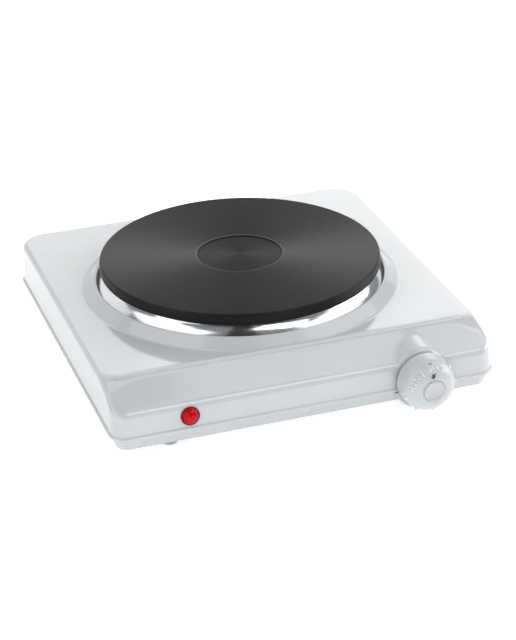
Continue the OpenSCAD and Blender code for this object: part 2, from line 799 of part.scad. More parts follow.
module knob() {
  color(white_plastic) facing_front([knob_x, knob_back_y, knob_z]) {
    difference() {
      union() {
        rotate_extrude() knob_section();
        translate([-2.6, shaft_d / 2 - 0.95, 1.6]) cube([5.2, 1.6, 11]);
        for (k = [1 : 6]) rotate([0, 0, -(scale_step * k + 2)])
          translate([0, knob_r - 0.3, shoulder_c[1] + 1]) sphere(r = 1.2, $fn = 32);
        on_dome(-30, 44) translate([-0.35, -2.4, -0.6]) cube([0.7, 4.8, 1]);
        dome_word([LETTER_M, LETTER_A, LETTER_X], 12, 17);
        dome_word([LETTER_M, LETTER_I, LETTER_N], -64, 15);
      }
      rotate([0, 0, -4]) translate([0, dot_r, knob_len - 2.6]) cylinder(h = 4, r = 1.5, $fn = 48);
      on_dome(-2, 27) translate([-1.1, -0.4, -0.5]) cube([2.2, 0.8, 2]);
    }
  }
}

// Dark dot in the face and dark dash on the shoulder
module knob_marks() {
  color("#3c3f41") facing_front([knob_x, knob_back_y, knob_z]) {
    rotate([0, 0, -4]) translate([0, dot_r, knob_len - 2.58]) cylinder(h = 0.7, r = 1.45, $fn = 48);
    on_dome(-2, 27) translate([-1.05, -0.35, -0.45]) cube([2.1, 0.7, 0.45]);
  }
}

// Split spring ring that grips the hub on the shaft
module knob_clip() {
  color(bright_steel) facing_front([knob_x, knob_back_y, knob_z])
    translate([0, 0, 3]) rotate([0, 0, 110]) rotate_extrude(angle = 320) translate([5.25, 0]) square([0.6, 3]);
}

// ---- Pilot lamp ----

module lamp_place() {
  translate([-lamp_x, face_y(lamp_z), lamp_z]) rotate([90 - lean, 0, 0]) children();
}

module pilot_lens() {
  lens_r = lamp_d / 2;
  stem_r = lens_r - 1.2;
  color("#c4141a") lamp_place() difference() {
    rotate_extrude() polygon(concat(
      [[0, -6]], [[stem_r, -6], [stem_r, 0.12], [lens_r, 0.12], [lens_r, 0.7]],
      arc([0, -2.7], 6.3, 33, 90, 10)
    ));
    translate([0, 0, -7]) cylinder(h = 7.5, r = stem_r - 1);
  }
}

module lamp_clip() {
  stem_r = lamp_d / 2 - 1.2;
  color(bright_steel) lamp_place() translate([0, 0, -sheet_t - 0.7]) difference() {
    cylinder(h = 0.5, r = stem_r + 1.5);
    translate([0, 0, -1]) cylinder(h = 3, r = stem_r + 0.02);
  }
}

module lamp_barrel() {
  stem_r = lamp_d / 2 - 1.2;
  color("#d8d3c6") lamp_place() difference() {
    union() {
      translate([0, 0, -18]) cylinder(h = 15.5, r = stem_r + 1.2);
      for (s = [-1, 1]) translate([s * 2.5 - 1.4, -0.4, -24]) cube([2.8, 0.8, 7]);
    }
    translate([0, 0, -6.1]) cylinder(h = 5, r = stem_r + 0.02);
    translate([0, 0, -15]) cylinder(h = 10, r = stem_r - 1.2);
  }
}

module neon_bulb() {
  color("#f0b79a") lamp_place() {
    translate([0, 0, -13]) cylinder(h = 8, r = 2.2, $fn = 48);
    translate([0, 0, -5]) sphere(r = 2.2, $fn = 48);
    translate([0, 0, -15]) cylinder(h = 2.2, r = 1.4, $fn = 48);
  }
}

// ---- Mains side ----

module terminal_block() {
  color("#e7e4da") translate([block_x, block_y, block_z]) difference() {
    translate([-block_size[0] / 2, -block_size[1] / 2, 0.05]) cube(block_size);
    for (i = [-1 : 1]) translate([i * 11, 0, 0]) {
      translate([0, -block_size[1], 5]) rotate([-90, 0, 0]) cylinder(h = 2 * block_size[1], r = 2, $fn = 48);
      for (s = [-1, 1]) translate([0, s * 5, 6]) cylinder(h = block_size[2], r = 2.1, $fn = 48);
    }
  }
}

module terminal_screws() {
  color("#b08d3e") translate([block_x, block_y, block_z]) for (i = [-1 : 1], s = [-1, 1])
    translate([i * 11, s * 5, 7.2]) difference() {
      cylinder(h = 4.4, r = 1.95, $fn = 48);
      translate([-2, -0.3, 3.6]) cube([4, 0.6, 2]);
    }
}

// Moulded gland in the rear wall, with a plain bore for the mains cord
module cord_gland() {
  wall_y = wall_back - draft * (gland_z - lip_z) / (top_z - lip_z);
  color("#dfe3e5") translate([-gland_x, wall_y, gland_z]) rotate([-90, 0, 0]) rotate_extrude() polygon([
    [cord_r, -5], [8, -5], [8, -sheet_t - 0.75], [6.4, -sheet_t - 0.75], [6.4, 0.7],
    [9, 0.7], [9, 1.8], [7, body_back + gland_out - wall_y], [cord_r, body_back + gland_out - wall_y]
  ]);
}

module earth_screw() {
  color("#b08d3e") translate([-60, plate_y, bar_z]) {
    translate([0, 0, -5]) cylinder(h = 8, r = 2, $fn = 48);
    translate([0, 0, bar_t + 0.05]) cylinder(h = 2.4, r = 3.6, $fn = 48);
    translate([0, 0, -4.4]) cylinder(h = 3, r = 4, $fn = 6);
  }
}

module earth_tag() {
  color(bright_steel) translate([-60, plate_y, bar_z - 0.9]) difference() {
    union() {
      cylinder(h = 0.8, r = 4.2, $fn = 48);
      translate([-14, -2, 0]) cube([12, 4, 0.8]);
    }
    translate([0, 0, -1]) cylinder(h = 3, r = 2.05, $fn = 48);
  }
}

// Internal wiring: each lead runs from one terminal to the next
lead_r = 1.3;
lead_z = bar_z + 0.6;

module brown_leads() {
  rim_y = plate_y + shield_r + 5;
  color("#6b3f26") {
    wire([
      [block_x + 11, block_y + 10, block_z + 5], [block_x + 11, block_y + 13.5, block_z + 12],
      [block_x + 11, rim_y - 6, lead_z], [102, rim_y - 40, lead_z],
      [108, plate_y - 60, lead_z - 8], [blade_x[1], thermo_back + 22, 27], [blade_x[1], thermo_back + 8.8, knob_z]
    ], lead_r);
    wire([
      [blade_x[0], thermo_back + 8.8, knob_z], [blade_x[0] - 8, plate_y - 62, lead_z + 0.5],
      [34, plate_y - 30, cover_z - 14]
    ], lead_r);
    wire([
      [26, plate_y - 30, cover_z - 14], [24, plate_y + 20, lead_z - 6.5], [15, pin_y, cover_z - 18.8]
    ], lead_r);
  }
}

module blue_leads() {
  color("#2c5f9e") {
    wire([
      [block_x, block_y + 10, block_z + 5], [block_x, block_y + 13.5, block_z + 12],
      [block_x, plate_y + shield_r + 1, lead_z], [-15, pin_y, cover_z - 18.8]
    ], lead_r);
    wire([
      [-lamp_x - 2.5, face_y(lamp_z) + 25.5, lamp_z - 2.2], [-88, plate_y - 80, lead_z - 6],
      [-106, plate_y + 30, lead_z - 6], [-78, block_y - 20, block_z + 8],
      [block_x - 1, block_y - 13.5, block_z + 5.4], [block_x, block_y - 9.3, block_z + 5]
    ], lead_r);
  }
}

module earth_lead() {
  color("#5f9a3a") wire([
    [block_x - 11, block_y + 10, block_z + 5], [block_x - 11, block_y + 13.5, block_z + 12],
    [block_x - 18, block_y - 6, lead_z], [-88, plate_y + 50, lead_z], [-84, plate_y + 24, lead_z - 1],
    [-75, plate_y + 11, bar_z - 4.6], [-72.5, plate_y + 1, bar_z - 2.35]
  ], lead_r);
}

top_housing();
base_tray();
feet();
base_screws();
housing_brackets();
hot_plate();
spill_ring();
ceramic_mass();
heating_coils();
coil_block();
coil_pins();
plate_cover();
centre_stud();
clamp_bar();
stud_washer();
stud_nut();
limiter();
limiter_clip();
heat_shield();
shield_screws();
thermostat_body();
thermostat_bracket();
thermostat_screws();
thermostat_terminals();
control_shaft();
knob();
knob_marks();
knob_clip();
pilot_lens();
lamp_clip();
lamp_barrel();
neon_bulb();
terminal_block();
terminal_screws();
cord_gland();
earth_screw();
earth_tag();
brown_leads();
blue_leads();
earth_lead();
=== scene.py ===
"""Looks of the hot plate burner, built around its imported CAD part. Lengths are in metres."""

import json
import math

import bmesh
import bpy
import numpy as np
from mathutils import Matrix, Vector


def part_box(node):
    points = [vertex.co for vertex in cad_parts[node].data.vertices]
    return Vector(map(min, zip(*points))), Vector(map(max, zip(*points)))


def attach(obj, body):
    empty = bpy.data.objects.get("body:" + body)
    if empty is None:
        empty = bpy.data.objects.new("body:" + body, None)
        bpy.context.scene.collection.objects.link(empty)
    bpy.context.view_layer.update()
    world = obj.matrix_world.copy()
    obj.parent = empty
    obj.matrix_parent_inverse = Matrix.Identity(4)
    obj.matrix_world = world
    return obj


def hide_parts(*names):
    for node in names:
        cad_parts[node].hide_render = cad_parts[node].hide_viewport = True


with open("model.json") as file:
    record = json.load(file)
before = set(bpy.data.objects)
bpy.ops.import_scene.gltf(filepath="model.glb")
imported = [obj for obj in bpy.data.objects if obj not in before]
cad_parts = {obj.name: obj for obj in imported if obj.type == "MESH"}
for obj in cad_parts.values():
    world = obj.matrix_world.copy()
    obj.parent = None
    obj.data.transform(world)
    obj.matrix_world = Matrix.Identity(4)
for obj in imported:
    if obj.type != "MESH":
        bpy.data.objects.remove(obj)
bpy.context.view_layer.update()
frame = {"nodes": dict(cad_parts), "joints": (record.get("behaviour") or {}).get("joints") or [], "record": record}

MM = 0.001
TAU = 2 * math.pi
SCENE = bpy.context.scene

# ---- Places, read from the CAD part ----

plate_lo, plate_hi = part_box("hot_plate")
PLATE_X, PLATE_Y = (plate_lo.x + plate_hi.x) / 2, (plate_lo.y + plate_hi.y) / 2
PLATE_R, PLATE_Z = (plate_hi.x - plate_lo.x) / 2, plate_hi.z
PLATE_LOW = plate_lo.z
ring_lo, ring_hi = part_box("spill_ring")
house_lo, house_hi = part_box("top_housing")
lens_lo, lens_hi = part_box("pilot_lens")
LENS = (lens_lo + lens_hi) / 2
KNOB = Vector(frame["joints"][0]["pos_m"])
KNOB_LEN = KNOB.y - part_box("knob")[0].y
VIEW_AZIMUTH = math.radians(-17.35)


# ---- Mesh helpers ----

def make_piece(name, verts, faces, material, body="appliance", stand_for=()):
    """A mesh object that rides on a CAD body, with outward normals and sharp edges kept sharp."""
    mesh = bpy.data.meshes.new(name)
    mesh.from_pydata([tuple(v) for v in verts], [], faces)
    bm = bmesh.new()
    bm.from_mesh(mesh)
    bmesh.ops.remove_doubles(bm, verts=bm.verts, dist=1e-7)
    bmesh.ops.dissolve_degenerate(bm, edges=bm.edges, dist=1e-8)
    bmesh.ops.recalc_face_normals(bm, faces=bm.faces)
    bm.to_mesh(mesh)
    bm.free()
    shade(mesh)
    mesh.materials.append(material)
    obj = bpy.data.objects.new(name, mesh)
    SCENE.collection.objects.link(obj)
    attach(obj, body)
    if stand_for:
        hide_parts(*stand_for)
    return obj


def carve(obj, cutter):
    """Takes the closed cutter away from a piece."""
    mesh = bpy.data.meshes.new("cutter")
    mesh.from_pydata([tuple(v) for v in cutter[0]], [], cutter[1])
    tool = bpy.data.objects.new("cutter", mesh)
    SCENE.collection.objects.link(tool)
    cut = obj.modifiers.new("cut", "BOOLEAN")
    cut.operation = "DIFFERENCE"
    cut.solver = "EXACT"
    cut.use_self = True
    cut.object = tool
    bpy.context.view_layer.update()
    result = bpy.data.meshes.new_from_object(obj.evaluated_get(bpy.context.evaluated_depsgraph_get()))
    obj.modifiers.remove(cut)
    obj.data = result
    bpy.data.objects.remove(tool)
    bpy.data.meshes.remove(mesh)
    shade(result)


def shade(mesh):
    """Smooth shading, with edges sharper than 38 degrees kept sharp."""
    mesh.shade_smooth()
    mesh.set_sharp_from_angle(angle=math.radians(38))


def grid_faces(rows, cols):
    """Quads of a grid whose rows are rings of cols points."""
    return [
        (i * cols + j, i * cols + (j + 1) % cols, (i + 1) * cols + (j + 1) % cols, (i + 1) * cols + j)
        for i in range(rows - 1) for j in range(cols)
    ]


def arc(centre, radius, a0, a1, steps):
    """Points on an arc, angles in degrees."""
    return [
        (centre[0] + radius * math.cos(math.radians(a0 + (a1 - a0) * i / steps)),
         centre[1] + radius * math.sin(math.radians(a0 + (a1 - a0) * i / steps)))
        for i in range(steps + 1)
    ]


def soften(points, radius, steps=3):
    """Rounds each corner between a polyline's ends, with a smaller radius where a side is short."""
    out = []
    last = len(points) - 1
    for i in range(last + 1):
        p = Vector(points[i])
        if i in (0, last):
            out.append(tuple(p))
            continue
        a, b = Vector(points[i - 1]) - p, Vector(points[i + 1]) - p
        cut = min(radius, a.length * 0.45, b.length * 0.45)
        start, end = p + a.normalized() * cut, p + b.normalized() * cut
        for k in range(steps + 1):
            t = k / steps
            q = start * (1 - t) ** 2 + p * 2 * t * (1 - t) + end * t * t
            out.append(tuple(q))
    return out


def lathe(profile, segments, place):
    """Turns a section of (radius, height) points; place maps (u, v, w) to a point of the part."""
    verts, faces, rows = [], [], []
    for r, w in profile:
        if r < 1e-7:
            rows.append([len(verts)])
            verts.append(place(0, 0, w))
            continue
        rows.append(list(range(len(verts), len(verts) + segments)))
        for k in range(segments):
            a = TAU * k / segments
            verts.append(place(r * math.cos(a), r * math.sin(a), w))
    for low, high in zip(rows, rows[1:]):
        for k in range(segments):
            m = (k + 1) % segments
            if len(low) == 1 and len(high) == 1:
                continue
            if len(low) == 1:
                faces.append((low[0], high[m], high[k]))
            elif len(high) == 1:
                faces.append((low[k], low[m], high[0]))
            else:
                faces.append((low[k], low[m], high[m], high[k]))
    return verts, faces


def joined(*groups):
    """One vertex list and one face list from several."""
    verts, faces = [], []
    for v, f in groups:
        faces += [tuple(i + len(verts) for i in face) for face in f]
        verts += v
    return verts, faces


def upright(u, v, w):
    """A lathe's place around the plate's axis."""
    return (PLATE_X + u, PLATE_Y + v, w)


def facing_front(u, v, w):
    """A lathe's place around the knob's axis, with w towards the front."""
    return (KNOB.x + u, KNOB.y - w, KNOB.z + v)


def in_mm(points):
    """Metres from (radius, height) points in millimetres."""
    return [(r * MM, z * MM) for r, z in points]


# ---- Material helpers ----

class Nodes:
    """A node material under construction."""

    def __init__(self, name, base, rough, **constants):
        self.material = bpy.data.materials.new(name)
        self.material.use_nodes = True
        self.tree = self.material.node_tree
        self.shader = self.tree.nodes["Principled BSDF"]
        self.material.diffuse_color = (*base, 1)
        self.set("Base Color", (*base, 1))
        self.set("Roughness", rough)
        for socket, value in constants.items():
            self.set(socket.replace("_", " "), value)
        coords = self.add("ShaderNodeTexCoord")
        self.where = coords.outputs["Object"]

    def set(self, socket, value):
        self.shader.inputs[socket].default_value = value

    def add(self, kind, **values):
        node = self.tree.nodes.new(kind)
        for key, value in values.items():
            if hasattr(node, key):
                setattr(node, key, value)
            else:
                node.inputs[key.replace("_", " ")].default_value = value
        return node

    def link(self, a, b):
        self.tree.links.new(a, b)

    def noise(self, scale, detail=3.0, stretch=None):
        """Noise over the part; stretch squeezes it along the axes."""
        node = self.add("ShaderNodeTexNoise", Scale=scale, Detail=detail)
        where = self.where
        if stretch:
            mapping = self.add("ShaderNodeMapping", Scale=stretch)
            self.link(where, mapping.inputs["Vector"])
            where = mapping.outputs["Vector"]
        self.link(where, node.inputs["Vector"])
        return node.outputs["Fac"]

    def span(self, value, low, high, start=0.3, end=0.7):
        node = self.add("ShaderNodeMapRange")
        node.inputs["From Min"].default_value = start
        node.inputs["From Max"].default_value = end
        node.inputs["To Min"].default_value = low
        node.inputs["To Max"].default_value = high
        self.link(value, node.inputs["Value"])
        return node.outputs["Result"]

    def blend(self, factor, first, second):
        """Mix of two colours; each is a colour or a socket."""
        node = self.add("ShaderNodeMix", data_type="RGBA")
        for socket, value in ((node.inputs[6], first), (node.inputs[7], second)):
            if isinstance(value, (tuple, list)):
                socket.default_value = (*value[:3], 1)
            else:
                self.link(value, socket)
        self.link(factor, node.inputs[0])
        return node.outputs[2]

    def math(self, operation, a, b=0.0):
        node = self.add("ShaderNodeMath", operation=operation)
        for socket, value in zip(node.inputs, (a, b)):
            if isinstance(value, (int, float)):
                socket.default_value = value
            else:
                self.link(value, socket)
        return node.outputs[0]

    def colour(self, socket):
        self.link(socket, self.shader.inputs["Base Color"])

    def rough(self, socket):
        self.link(socket, self.shader.inputs["Roughness"])

    def bump(self, height, depth, strength=1.0):
        """Bump of a real depth, in metres."""
        node = self.add("ShaderNodeBump", Strength=strength, Distance=depth)
        self.link(height, node.inputs["Height"])
        last = getattr(self, "normal", None)
        if last is not None:
            self.link(last, node.inputs["Normal"])
        self.normal = node.outputs["Normal"]
        self.link(self.normal, self.shader.inputs["Normal"])

    def edges(self):
        """1 along outer edges, 0 elsewhere."""
        geometry = self.add("ShaderNodeNewGeometry")
        return self.span(geometry.outputs["Pointiness"], 0.0, 1.0, 0.52, 0.6)


def scaled(colour, k):
    """A lighter or darker version of a colour."""
    return tuple(min(1.0, c * k) for c in colour)


def moulded(name, base, rough, grain=1800, depth=0.00001, edge_wear_and_highlight=1.06, **constants):
    """Paint, plastic or rubber: faint patches, fine texture, edges a little lighter: slight wear, and a painted
    highlight where the factor is large, as on the knob.
    """
    n = Nodes(name, base, rough, **constants)
    patches = n.noise(24, 4)
    body = n.blend(n.span(patches, 0, 1), scaled(base, 0.975), scaled(base, 1.02))
    n.colour(n.blend(n.edges(), body, scaled(base, edge_wear_and_highlight)))
    n.rough(n.span(n.noise(90, 5), rough * 0.8, rough * 1.25))
    n.bump(n.noise(grain, 2), depth)
    return n


def metal(name, base, rough, stretch=(1, 1, 1), grain=900, depth=0.000004, **constants):
    """Bare or plated metal: streaks along the grain and brighter edges."""
    n = Nodes(name, base, rough, Metallic=1.0, **constants)
    patches = n.noise(60, 4, stretch)
    body = n.blend(n.span(patches, 0, 1), scaled(base, 0.88), scaled(base, 1.05))
    n.colour(n.blend(n.edges(), body, scaled(base, 1.15)))
    n.rough(n.span(n.noise(220, 4, stretch), rough * 0.75, rough * 1.35))
    n.bump(n.noise(grain, 3, stretch), depth)
    return n


def distance_from(n, centre, across):
    """Distance from an axis through centre; across is 1 on the two axes that count."""
    place = n.add("ShaderNodeMapping")
    place.inputs["Location"].default_value = tuple(-c for c in centre)
    n.link(n.where, place.inputs["Vector"])
    flat = n.add("ShaderNodeVectorMath", operation="MULTIPLY")
    flat.inputs[1].default_value = across
    n.link(place.outputs["Vector"], flat.inputs[0])
    length = n.add("ShaderNodeVectorMath", operation="LENGTH")
    n.link(flat.outputs["Vector"], length.inputs[0])
    return length.outputs["Value"]


def turned_grooves(n, pitch, wobble):
    """Distance from the plate's axis, fine turned grooves uneven in depth, and that unevenness."""
    radius = distance_from(n, (PLATE_X, PLATE_Y, 0), (1, 1, 0))
    wave = n.math("SINE", n.math("MULTIPLY", radius, TAU / pitch))
    place = n.add("ShaderNodeCombineXYZ")
    n.link(radius, place.inputs[0])
    uneven = n.add("ShaderNodeTexNoise", Scale=wobble, Detail=4.0)
    n.link(place.outputs[0], uneven.inputs["Vector"])
    return radius, n.math("MULTIPLY", wave, uneven.outputs["Fac"]), uneven.outputs["Fac"]


# ---- Materials ----

PAINT = (0.50, 0.525, 0.535)
PLASTIC = (0.49, 0.515, 0.525)
DISC_STEP = 28.05 * MM


def make_enamel():
    """Glossy white stoved enamel."""
    n = moulded("white_enamel", PAINT, 0.10, grain=420, depth=0.0000025)
    n.set("Specular IOR Level", 0.75)
    return n.material


def make_iron():
    """Turned and blackened cast iron, smoother in the sunk disc, with a painted highlight along its step."""
    base = (0.008, 0.008, 0.0083)
    n = Nodes("cast_iron", base, 0.45, Anisotropic=0.9, Anisotropic_Rotation=0.25)
    radius, grooves, uneven = turned_grooves(n, 1.15 * MM, 900)
    grain = n.noise(1400, 4)
    streaks = n.blend(n.span(uneven, 0, 1), scaled(base, 0.6), scaled(base, 1.5))
    # Painted highlight: a lighter line along the disc's step, where its edge would catch the light.
    near_step = n.math("ABSOLUTE", n.math("SUBTRACT", radius, DISC_STEP))
    painted_step_highlight = n.span(near_step, 1.0, 0.0, 0.15 * MM, 0.5 * MM)
    n.colour(n.blend(painted_step_highlight, n.blend(n.edges(), streaks, scaled(base, 2.2)), (0.10, 0.10, 0.105)))
    inside, outside = DISC_STEP - 0.25 * MM, DISC_STEP + 0.35 * MM
    n.link(n.span(radius, 0.07, 0.17, inside, outside), n.shader.inputs["Specular IOR Level"])
    n.link(n.span(radius, 0.6, 0.9, inside, outside), n.shader.inputs["Anisotropic"])
    n.rough(n.span(grain, 0.38, 0.54))
    n.bump(grooves, 0.030 * MM)
    n.bump(grain, 0.02 * MM, 0.6)
    tangent = n.add("ShaderNodeTangent", direction_type="RADIAL", axis="Z")
    n.link(tangent.outputs["Tangent"], n.shader.inputs["Tangent"])
    return n.material


def make_polished():
    """Spun and polished stainless sheet."""
    n = Nodes("polished_steel", (0.74, 0.76, 0.78), 0.12, Metallic=1.0)
    _, grooves, uneven = turned_grooves(n, 0.9 * MM, 1500)
    n.colour(n.blend(n.span(uneven, 0, 1), (0.66, 0.68, 0.71), (0.80, 0.82, 0.84)))
    n.rough(n.span(n.noise(140, 4), 0.10, 0.17))
    n.bump(grooves, 0.006 * MM)
    return n.material


def make_lens():
    """Clear red plastic, with painted sparkle standing in for the facets behind it, painted shade at the rim and a
    faint painted glow.
    """
    n = Nodes("red_lens", (0.50, 0.003, 0.008), 0.06)
    n.set("Specular IOR Level", 0.14)
    n.set("Subsurface Weight", 0.1)
    n.set("Subsurface Radius", (0.004, 0.0006, 0.0006))
    n.set("Subsurface Scale", 0.5)
    # Painted sparkle: noise between dark and bright red stands in for light caught by the facets behind the lens.
    inner = n.noise(620, 2)
    painted_sparkle = n.blend(n.span(inner, 0, 1, 0.38, 0.62), (0.24, 0.0, 0.002), (0.62, 0.002, 0.004))
    # Painted shade: the lens colour darkens towards its rim, where the dome turns away.
    rim = n.span(distance_from(n, (LENS.x, 0, LENS.z), (1, 0, 1)), 0, 1, 4.3 * MM, 5.6 * MM)
    n.colour(n.blend(rim, painted_sparkle, (0.07, 0.0, 0.001)))
    n.rough(n.span(n.noise(900, 3), 0.05, 0.12))
    # Painted glow: a faint emission brightens the lens, which is not lit.
    n.set("Emission Color", (0.9, 0.01, 0.02, 1))
    n.set("Emission Strength", 0.05)
    return n.material


MATERIALS = {
    "white_enamel": make_enamel(),
    "white_plastic": moulded("white_plastic", PLASTIC, 0.24, 1500, 0.000006).material,
    # The knob's raised letters and edges are lightened 1.7 times: a painted highlight, as if they caught the
    # light.
    "white_gloss_plastic": moulded(
        "white_gloss_plastic", scaled(PAINT, 0.97), 0.2, 900, 0.000003, edge_wear_and_highlight=1.7).material,
    "grey_rubber": moulded("grey_rubber", (0.30, 0.32, 0.33), 0.62, 1500, 0.00002).material,
    "zinc_steel": metal("zinc_steel", (0.56, 0.57, 0.59), 0.34).material,
    "bright_steel": metal("bright_steel", (0.66, 0.66, 0.67), 0.22, (1, 6, 1)).material,
    "cast_iron": make_iron(),
    "polished_steel": make_polished(),
    "ceramic": moulded("ceramic", (0.66, 0.61, 0.52), 0.7, 900, 0.00003).material,
    "heating_wire": metal("heating_wire", (0.30, 0.26, 0.22), 0.5, grain=3000, depth=0.00001).material,
    "aluminised_sheet": metal("aluminised_sheet", (0.62, 0.63, 0.64), 0.38, (1, 1, 1), 300, 0.00001).material,
    "brass_parts": metal("brass_parts", (0.62, 0.43, 0.16), 0.28).material,
    "dark_print": moulded("dark_print", (0.035, 0.038, 0.04), 0.5).material,
    "red_lens": make_lens(),
    "cream_plastic": moulded("cream_plastic", (0.70, 0.67, 0.58), 0.4).material,
    "neon_glass": moulded("neon_glass", (0.9, 0.6, 0.45), 0.08, Transmission_Weight=0.7).material,
    "brown_insulation": moulded("brown_insulation", (0.13, 0.055, 0.028), 0.5).material,
    "blue_insulation": moulded("blue_insulation", (0.03, 0.10, 0.30), 0.5).material,
    "green_insulation": moulded("green_insulation", (0.10, 0.27, 0.03), 0.5).material,
}


# ---- Housing ----

COLLAR_Z = house_hi.z
COLLAR_IN, COLLAR_FOOT = 94.1 * MM, 104.2 * MM
LEDGE_Z = COLLAR_Z - 3.5 * MM
TOP_Z = COLLAR_Z - 6 * MM
LIP_Z = house_lo.z
LIP_OUT, LIP_H = 1.2 * MM, 2.4 * MM
SHEET = 1.0 * MM
EDGE_R = 3.0 * MM
DRAFT = 1.1 * MM
WALL_HX = house_hi.x - LIP_OUT
WALL_FRONT = house_lo.y + LIP_OUT
WALL_BACK = house_hi.y - LIP_OUT
REAR_R, FRONT_R = 18.2 * MM, 10.2 * MM
RIDGE_Y = house_lo.y + 3.3 * MM
RIDGE_Z = TOP_Z - 11 * MM
CREASE_Y = RIDGE_Y + 25 * MM
FACE_LEAN = (RIDGE_Y - WALL_FRONT) / (RIDGE_Z - LIP_Z)
CREASE_BLEND, END_BLEND = 1.2 * MM, 5 * MM
END_START, END_RUN = 96 * MM, 22 * MM
BEAD_Y = CREASE_Y + 2.9 * MM
BLISTER_R = 17.4 * MM
BLISTER_FOOT_R = 8 * MM
BLISTER_RISE = 0.10
BLISTER_END = CREASE_Y - 2 * MM
BLISTER_HX = 24 * MM
BLISTER_BLEND = 1.6 * MM


def smooth_min(a, b, k):
    """The lower of two heights, blended where they are closer than k."""
    h = np.maximum(k - np.abs(a - b), 0) / k
    return np.minimum(a, b) - h * h * k / 4


def blister_height(x, y):
    """Height of the bell-shaped raised section behind the knob, which rises a little to the rear."""
    r, f = BLISTER_R, BLISTER_FOOT_R
    rise = RIDGE_Z - KNOB.z
    foot = math.sqrt((r + f) ** 2 - (rise + f) ** 2)
    turn = r * foot / (r + f)
    d = np.abs(x - KNOB.x)
    top = np.sqrt(np.maximum(r * r - d * d, 0))
    fillet = rise + f - np.sqrt(np.maximum(f * f - (foot - d) ** 2, 0))
    bell = np.where(d < turn, top, np.where(d < foot, fillet, rise))
    climb = np.clip(y - RIDGE_Y, 0, BLISTER_END - RIDGE_Y) * BLISTER_RISE
    return KNOB.z + bell + climb - np.maximum(y - BLISTER_END, 0) * 0.5


def top_height(x, y):
    """The housing's upper surface: flat top, sloping panel, a crease softer at its ends, and the blister."""
    sloped = RIDGE_Z + (y - RIDGE_Y) * (TOP_Z - RIDGE_Z) / (CREASE_Y - RIDGE_Y)
    near_end = np.clip((np.abs(x) - END_START) / END_RUN, 0, 1)
    plain = smooth_min(np.full_like(x, TOP_Z), sloped, CREASE_BLEND + END_BLEND * near_end ** 2)
    bell = blister_height(x, y)
    near_knob = np.abs(x - KNOB.x) < BLISTER_HX
    return np.where(near_knob, -smooth_min(-plain, -bell, BLISTER_BLEND), plain)


def wall_distance(x, y, z):
    """Distance outside the drafted, round-cornered walls; negative inside."""
    k = (z - LIP_Z) / (TOP_Z - LIP_Z)
    hx = WALL_HX - DRAFT * k
    back = WALL_BACK - DRAFT * k
    front = WALL_FRONT + (z - LIP_Z) * FACE_LEAN
    r = np.where(y < 0, FRONT_R, REAR_R) - 0.5 * MM * k
    qx = np.abs(x) - hx + r
    qy = np.abs(y - (back + front) / 2) - (back - front) / 2 + r
    outside = np.hypot(np.maximum(qx, 0), np.maximum(qy, 0))
    return outside + np.minimum(np.maximum(qx, qy), 0) - r


def housing_distance(p):
    """Walls and upper surface met with a rounded edge."""
    x, y, z = p[..., 0], p[..., 1], p[..., 2]
    step = 0.05 * MM
    h = top_height(x, y)
    gx = (top_height(x + step, y) - h) / step
    gy = (top_height(x, y + step) - h) / step
    up = (z - h) / np.sqrt(1 + gx * gx + gy * gy)
    wall = wall_distance(x, y, z)
    inside = np.minimum(np.maximum(up, wall), -EDGE_R)
    return inside + np.hypot(np.maximum(up + EDGE_R, 0), np.maximum(wall + EDGE_R, 0))


def cast(start, direction, reach=0.025):
    """Points where rays from inside leave the housing."""
    low, high = np.zeros(start.shape[:-1]), np.full(start.shape[:-1], reach)
    for _ in range(32):
        middle = (low + high) / 2
        out = housing_distance(start + direction * middle[..., None]) > 0
        high, low = np.where(out, middle, high), np.where(out, low, middle)
    return start + direction * low[..., None]


def wall_stations():
    """Points and outward normals around the walls at the lip, closer together near the knob."""
    points, normals = [], []

    def straight(a, b, n):
        length = math.dist(a, b)
        count = int(length / (2.4 * MM))
        for i in range(count):
            t = i / count
            points.append((a[0] + (b[0] - a[0]) * t, a[1] + (b[1] - a[1]) * t))
            normals.append(n)

    def corner(cx, cy, r, turn):
        for i in range(18):
            a = math.radians(turn + 90 * i / 18)
            points.append((cx + r * math.cos(a), cy + r * math.sin(a)))
            normals.append((math.cos(a), math.sin(a)))

    front_x, rear_x = WALL_HX - FRONT_R, WALL_HX - REAR_R
    front, back = WALL_FRONT + FRONT_R, WALL_BACK - REAR_R
    corner(front_x, front, FRONT_R, 270)
    straight((WALL_HX, front), (WALL_HX, back), (1, 0))
    corner(rear_x, back, REAR_R, 0)
    straight((rear_x, WALL_BACK), (-rear_x, WALL_BACK), (0, 1))
    corner(-rear_x, back, REAR_R, 90)
    straight((-WALL_HX, back), (-WALL_HX, front), (-1, 0))
    corner(-front_x, front, FRONT_R, 180)
    knob_a, knob_b = KNOB.x - BLISTER_HX + MM, KNOB.x + BLISTER_HX - MM
    straight((-front_x, WALL_FRONT), (knob_a, WALL_FRONT), (0, -1))
    fine = 50
    for i in range(fine):
        points.append((knob_a + (knob_b - knob_a) * i / fine, WALL_FRONT))
        normals.append((0, -1))
    straight((knob_b, WALL_FRONT), (front_x, WALL_FRONT), (0, -1))
    return np.array(points), np.array(normals, float)


def collar_profile():
    """Radius and height from the ledge, over the crisp inner edge and down the cone to the flat top."""
    top, ledge, flat = COLLAR_Z / MM, LEDGE_Z / MM, TOP_Z / MM
    inner, foot = COLLAR_IN / MM, COLLAR_FOOT / MM
    corner = soften([(inner - 4.4, ledge), (inner - 0.4, ledge), (inner - 0.4, top - 0.9),
                     (inner - 0.1, top - 0.12), (inner + 0.4, top), (inner + 1, top - 0.25),
                     (foot - 2.1, flat + 0.32), (foot - 1, flat)], 0.7, 3)
    return in_mm(corner + [(foot, flat)])


def collar_rows(circle, hub):
    """Rings from the ledge over the collar to its foot."""
    return [np.column_stack([hub + circle * r, np.full(len(circle), z)]) for r, z in collar_profile()]


